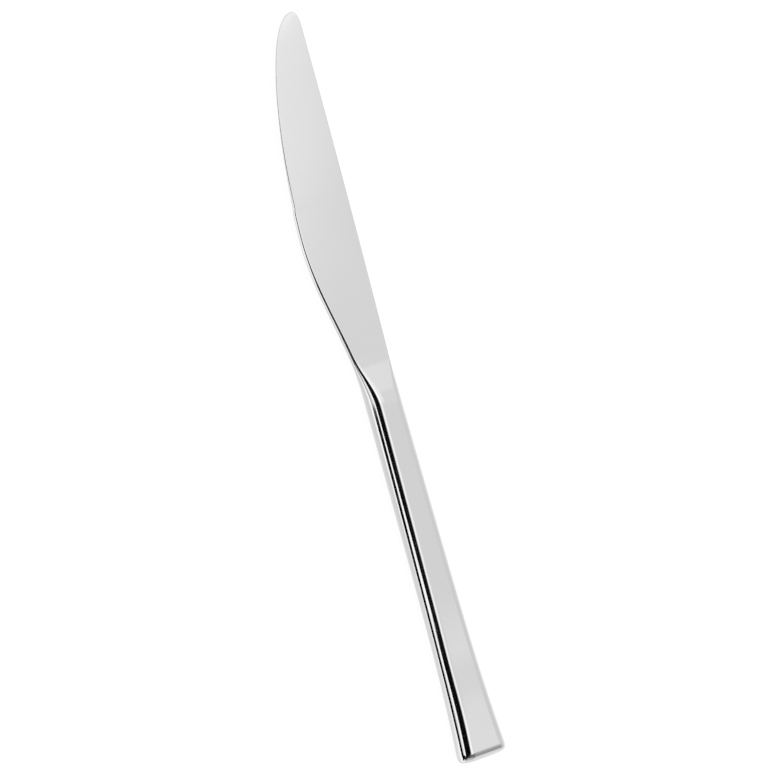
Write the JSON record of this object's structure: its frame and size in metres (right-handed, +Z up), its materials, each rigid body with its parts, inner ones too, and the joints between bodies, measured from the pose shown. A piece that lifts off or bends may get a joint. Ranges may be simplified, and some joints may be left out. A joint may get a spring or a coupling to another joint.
{
  "type": "table knife",
  "caption": "Table knife with a rounded blade, a smooth shoulder and a hollow racetrack handle that flares to a domed butt.",
  "frame": {"origin": "centre of the footprint, on the surface that the knife lies on", "axes": "+X along the handle towards the butt, +Y across the blade towards the spine, +Z up out of the flat face"},
  "size_m": [0.235, 0.0224, 0.0077],
  "materials": {
    "blade_steel": "mirror-polished stainless steel",
    "handle_steel": "mirror-polished stainless steel",
    "solder": "polished flush with the steel",
    "filling": "cast cement"
  },
  "bodies": {
    "root": {"blade": "blade_steel", "solder_ring": "solder", "handle_shell_upper": "handle_steel", "handle_shell_lower": "handle_steel", "handle_core": "filling"}
  },
  "joints": []
}
